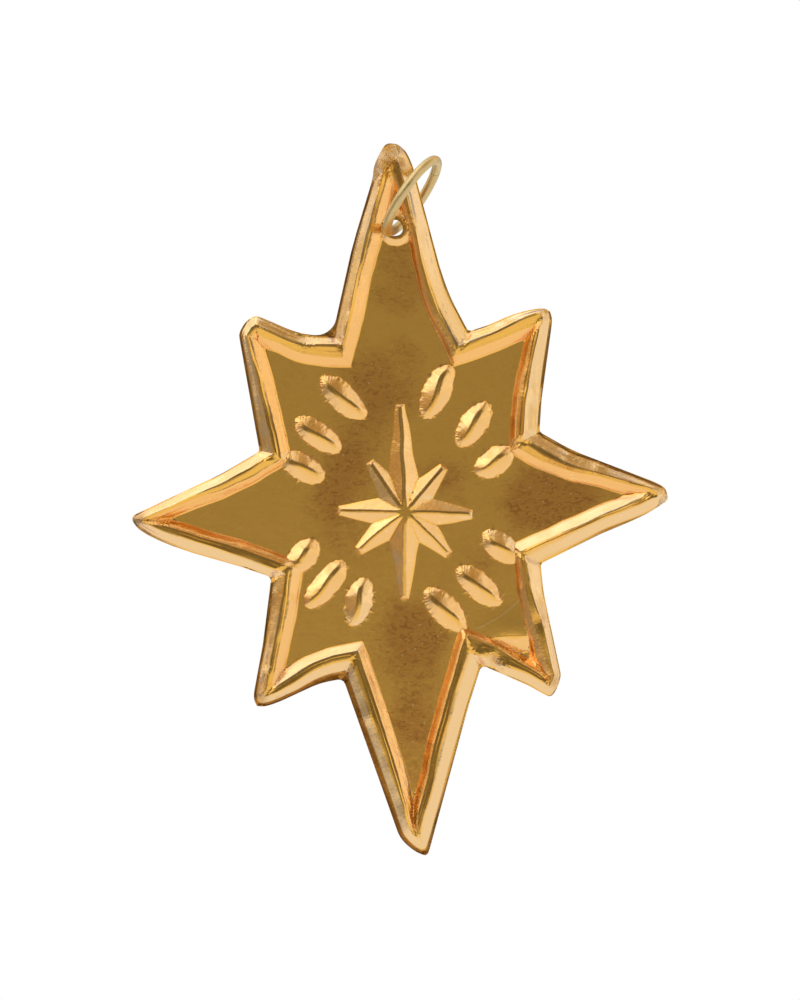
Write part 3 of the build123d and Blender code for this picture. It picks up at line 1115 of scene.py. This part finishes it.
def makeGold(name, dull):
    material, start = newMaterial(name)
    place = start.make("ShaderNodeTexCoord", out="Object")

    def given(layer):
        return start.make("ShaderNodeAttribute", out="Fac", attribute_name=layer)

    def texture(scale, detail, stretched=(1, 1, 1), twist=0.0):
        at = start.make("ShaderNodeVectorMath", {0: place, 1: stretched}, operation="MULTIPLY")
        return start.make("ShaderNodeTexNoise", {
            "Vector": at, "Scale": scale, "Detail": detail, "Roughness": 0.6, "Distortion": twist})

    stretch, pale = given("stretch"), given("pale")
    # Painted highlight: slopes turned away from the front get a paler gold than the flat, paler still where
    # the pale mark is high
    slope = stretch.over(*goldLook["slope"])
    flatPart = 1.0 - stretch.over(*goldLook["flatPart"])
    bent = pale.over(*goldLook["paleRange"]).mixColour(goldLook["bent"], goldLook["stretched"])
    colour = slope.mixColour(goldLook["flat"], bent)
    # Darker and lighter zones on the flat: partly wear in the lacquer, partly painted shade and light for the
    # warped sheet's reflections, from the listed spots and a cloud noise
    cloud = texture(goldLook["cloudScale"], 6.0)
    zone = given("worn") * goldLook["wearAndShadeShare"] + (cloud - 0.5) * goldLook["cloudShare"]
    zone = zone.over(*goldLook["wearAndShadeRange"])
    colour = (zone * flatPart).mixColour(colour, goldLook["worn"], "MULTIPLY")
    fibre = texture(goldLook["fibreScale"], 5.0, goldLook["fibreStretch"], goldLook["fibreTwist"])
    least = goldLook["strokesLeast"]
    strokes = fibre.over(*goldLook["strokes"]) * (least + zone * (1 - least)) * flatPart
    colour = strokes.mixColour(colour, goldLook["stroke"], "MULTIPLY")
    grain = texture(goldLook["grainScale"], 2.0)
    specks = grain.over(*goldLook["specks"]) * (0.25 + zone * 0.6)
    colour = specks.mixColour(colour, goldLook["speck"])
    # Painted shade on the rims and a painted shadow round the hole, with the brown spots, darken the colour
    colour = (given("grime") * (0.5 + fibre)).mixColour(colour, goldLook["grime"], "MULTIPLY")
    scratch = scratchLine(place, start) * flatPart * goldLook["scratchPaleness"]
    colour = scratch.mixColour(colour, goldLook["speck"])
    roughness = goldLook["roughness"] + (cloud - 0.5) * goldLook["cloudRoughness"]
    roughness = roughness + (grain - 0.5) * goldLook["grainRoughness"] + dull
    least = goldLook["pitsLeast"]
    height = (texture(goldLook["pitScale"], 3.0) + grain * 0.25) * (least + slope * (1 - least))
    normal = start.make("ShaderNodeBump", {
        "Distance": goldLook["bump"], "Height": height}, out="Normal")
    pulled = start.make("ShaderNodeCombineXYZ", {
        "X": given("edgeDistance") * goldLook["streaksAcross"],
        "Y": given("along") * goldLook["streaksAlong"]})
    streak = start.make("ShaderNodeTexNoise", {"Vector": pulled, "Scale": 1.0, "Detail": 1.0})
    normal = start.make("ShaderNodeBump", {
        "Distance": goldLook["streakDepth"], "Height": streak * given("streaks"),
        "Normal": normal}, out="Normal")
    least = goldLook["coatLeast"]
    coat = slope * (least + pale * (1 - least)) * (1.0 - given("grime"))
    finishMaterial(start, {
        "Base Color": colour, "Metallic": 1.0, "Roughness": roughness, "Normal": normal,
        "Coat Weight": coat, "Coat Roughness": goldLook["coatRoughness"],
        "Coat IOR": goldLook["coatIor"]})
    return material


plainLook = {"grainScale": 1500.0, "darker": 0.75, "unevenness": 0.1}


def makePlainMetal(name, colour, roughness):
    material, start = newMaterial(name)
    place = start.make("ShaderNodeTexCoord", out="Object")
    grain = start.make("ShaderNodeTexNoise", {
        "Vector": place, "Scale": plainLook["grainScale"], "Detail": 3.0})
    darker = tuple(v * plainLook["darker"] for v in colour[:3]) + (1,)
    finishMaterial(start, {
        "Base Color": grain.mixColour(darker, colour), "Metallic": 1.0,
        "Roughness": roughness + (grain - 0.5) * plainLook["unevenness"]})
    return material


# Plain soft studio: how bright each side is that the metal mirrors, by the angle round the camera's axis
# from the left (0) by way of below, right and above to the left again (1)
floorSide = ((0.12, 1), (0.25, 1.1), (0.42, 1.1), (0.48, 1), (0.56, 0.85))
studio = {
    "front": 0.37,
    "around": 0.16,
    "shade": (1.15, 0.86, 0.5, 1),  # colour of the dim parts
    "nearRing": ((0, 0.4), (0.05, 0.45), (0.067, 0.6), (0.1, 1.05), (0.25, 1.15), (0.42, 1.2), (0.48, 1.05),
                 (0.56, 0.95), (0.64, 1.1), (0.66, 0.45), (0.705, 0.45), (0.73, 1), (0.76, 1.2), (0.79, 1.5),
                 (0.83, 1.4), (0.865, 1.6), (0.88, 2), (0.91, 1.9), (0.94, 1.2), (0.965, 0.55), (1, 0.4)),
    "farRing": ((0, 0.33), (0.06, 0.35), *floorSide, (0.61, 0.35), (0.705, 0.3), (0.725, 0.9), (0.75, 1.2),
                (0.79, 1.6), (0.83, 1.25), (0.88, 1.2), (0.94, 1), (0.975, 0.35), (1, 0.33)),
    "rimRing": ((0, 0.85), (0.06, 0.8), *floorSide, (0.62, 0.5), (0.67, 0.5), (0.68, 0.75), (0.72, 0.9),
                (0.75, 1.2), (0.79, 1.9), (0.83, 1.35), (0.88, 1.3), (0.94, 0.95), (1, 0.85)),
    "brightest": 4.0,  # level that a colour stop of 1 stands for
    "farFrom": (-0.4, -0.3),  # direction's share away from the camera where a part starts and is full
    "rimFrom": (-0.22, -0.14),
    "plainFrom": (0.3, 0.5),
    "behindFrom": (0.7, 0.9),
    "aroundFrom": (0.71, 0.87),  # the same towards the camera
    "frontFrom": (0.955, 0.985),
    "shadeRange": (0.4, 1.0),
    "behind": 0.5,
    "patchScale": 7.0,
    "patchDepth": 2.0,
    "plain": 0.9,
}


def grey(level):
    return (level, level, level, 1)


def makeWorld():
    world = bpy.data.worlds.new("studio")
    world.use_nodes = True
    world.node_tree.nodes.clear()
    start = Wire(world.node_tree)
    toward = start.make("ShaderNodeTexCoord", out="Generated")
    right = start.make("ShaderNodeSeparateXYZ", {"Vector": toward})
    away, up = right.beside("Y"), right.beside("Z")
    turn = start.maths("ARCTAN2", up, right) / (2 * math.pi) + 0.5

    def ringLevel(stops):
        scaled = [(place, grey(level / studio["brightest"])) for place, level in stops]
        return start.make("ShaderNodeValToRGB", {"Fac": turn}, stops=scaled) * studio["brightest"]

    level = ringLevel(studio["nearRing"])
    level = level + away.over(*studio["farFrom"]) * (ringLevel(studio["farRing"]) - level)
    level = level + away.over(*studio["rimFrom"]) * (ringLevel(studio["rimRing"]) - level)
    patches = start.make("ShaderNodeTexNoise", {
        "Vector": toward, "Scale": studio["patchScale"], "Detail": 1.0})
    level = level * (1.0 + (patches - 0.5) * studio["patchDepth"])
    inward = (away * -1.0).over(*studio["aroundFrom"])
    tint = level.over(*studio["shadeRange"]).atLeast(inward)
    level = level + inward * (studio["around"] - level)
    level = level + (away * -1.0).over(*studio["frontFrom"]) * (studio["front"] - studio["around"])
    level = level + away.over(*studio["plainFrom"]) * (1.0 - level)
    level = level + away.over(*studio["behindFrom"]) * (studio["behind"] - level)
    path = start.make("ShaderNodeLightPath", out="Is Camera Ray")
    glossy = path.beside("Is Glossy Ray").atLeast(path.beside("Is Transmission Ray"))
    level = studio["plain"] + glossy * (level - studio["plain"])
    level = level + path * (1.0 - level)
    colour = (1.0 - tint).mixColour(level, studio["shade"], "MULTIPLY")
    colour = glossy.mixColour(level, colour)
    ground = start.make("ShaderNodeBackground", {"Color": colour, "Strength": 1.0})
    start.make("ShaderNodeOutputWorld", {"Surface": ground})
    bpy.context.scene.world = world


# Pale floor, which the metal mirrors as a painted reflection: the floor glows white in glossy rays, with
# painted shade darkening its far left
floorForm = {
    "z": -0.16,
    "halfWidth": 0.9,
    "corners": 96,
    "colour": (0.9, 0.9, 0.9, 1),
    "roughness": 0.9,
    "dimmed": 0.35,  # how bright its far left is in the metal
    "dimmedTo": (-0.35, -0.1),  # x up to which it is so, and from which it is fully bright
}


def makeFloor():
    half, z, count = floorForm["halfWidth"], floorForm["z"], floorForm["corners"]
    turns = np.linspace(0, 2 * math.pi, count + 1)[:-1]
    mesh = bpy.data.meshes.new("floor")
    mesh.from_pydata([(half * math.cos(t), half * math.sin(t), z) for t in turns], [], [list(range(count))])
    floor = newObject("floor", mesh)
    material, start = newMaterial("floor paint")
    paint = start.make("ShaderNodeBsdfPrincipled", {
        "Base Color": floorForm["colour"], "Roughness": floorForm["roughness"]})
    place = start.make("ShaderNodeTexCoord", out="Object")
    # Painted reflection: in glossy rays the floor glows, painted darker towards its far left
    dimmed = floorForm["dimmed"]
    level = dimmed + place.dot((1, 0, 0)).over(*floorForm["dimmedTo"]) * (1 - dimmed)
    paintedReflection = start.make("ShaderNodeEmission", {"Color": level, "Strength": 1.0})
    path = start.make("ShaderNodeLightPath", out="Is Glossy Ray")
    both = start.make("ShaderNodeMixShader", {0: path, 1: paint, 2: paintedReflection})
    start.make("ShaderNodeOutputMaterial", {"Surface": both})
    mesh.materials.append(material)


bpy.context.scene.view_settings.view_transform = "Standard"
makeWorld()
makeFloor()
print("studio made")

goldFront = makeGold("gold lacquer", 0.0)
goldBack = makeGold("gold lacquer back", 0.06)
cutEdge = makePlainMetal("cut edge", (0.62, 0.42, 0.2, 1), 0.35)
brass = makePlainMetal("brass wire", (0.76, 0.56, 0.25, 1), 0.4)

tinSockets = {
    "Geometry": ("Geometry", None),
    "Border height": ("Float", borderProfile["height"] * mm),
    "Profile span": ("Float", borderProfile["span"]),
    "Uneven share": ("Float", borderProfile["uneven"]),
    "Uneven per metre": ("Float", 1 / (borderProfile["unevenSize"] * mm)),
    "Dent depth": ("Float", borderProfile["dents"] * mm),
    "Dents per metre": ("Float", 1 / (borderProfile["dentSize"] * mm)),
    "Sway": ("Float", borderProfile["sway"] * mm),
    "Sways per metre": ("Float", 1 / (borderProfile["swaySize"] * mm)),
    "Thickness": ("Float", starForm["thickness"] * mm),
    "Seed": ("Float", borderProfile["seed"]),
    "Front": ("Material", goldFront),
    "Back": ("Material", goldBack),
    "Edge": ("Material", cutEdge),
}
star = newObject("pressed_tin_star", starMesh())
runGroup(star, pressedTin(tinSockets), tinSockets)
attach(star, "star")
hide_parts("tin_star")
print("star made, faces", len(star.data.polygons))

farEnd, toBack = Vector(ringForm["farEnd"]), Vector(ringForm["toBack"])
basis = Matrix((farEnd, toBack, farEnd.cross(toBack))).transposed()
gap = ringForm["seamGap"] / ringForm["radius"]
wireSockets = {
    "Geometry": ("Geometry", None),
    "Ring radius": ("Float", ringForm["radius"]),
    "Wire diameter": ("Float", ringForm["wire"]),
    "Start angle": ("Float", math.radians(ringForm["seamTurn"]) + gap / 2),
    "Sweep angle": ("Float", 2 * math.pi - gap),
    "Place": ("Vector", ringForm["centre"]),
    "Turn": ("Rotation", basis.to_euler()),
    "Steps round": ("Int", ringForm["turns"]),
    "Wire sides": ("Int", ringForm["sides"]),
    "Metal": ("Material", brass),
}
ring = newObject("bent_wire_ring", bpy.data.meshes.new("bent_wire_ring"))
runGroup(ring, bentWire(wireSockets), wireSockets)
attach(ring, "ring")
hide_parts("hanging_ring")
print("ring made, faces", len(ring.data.polygons))
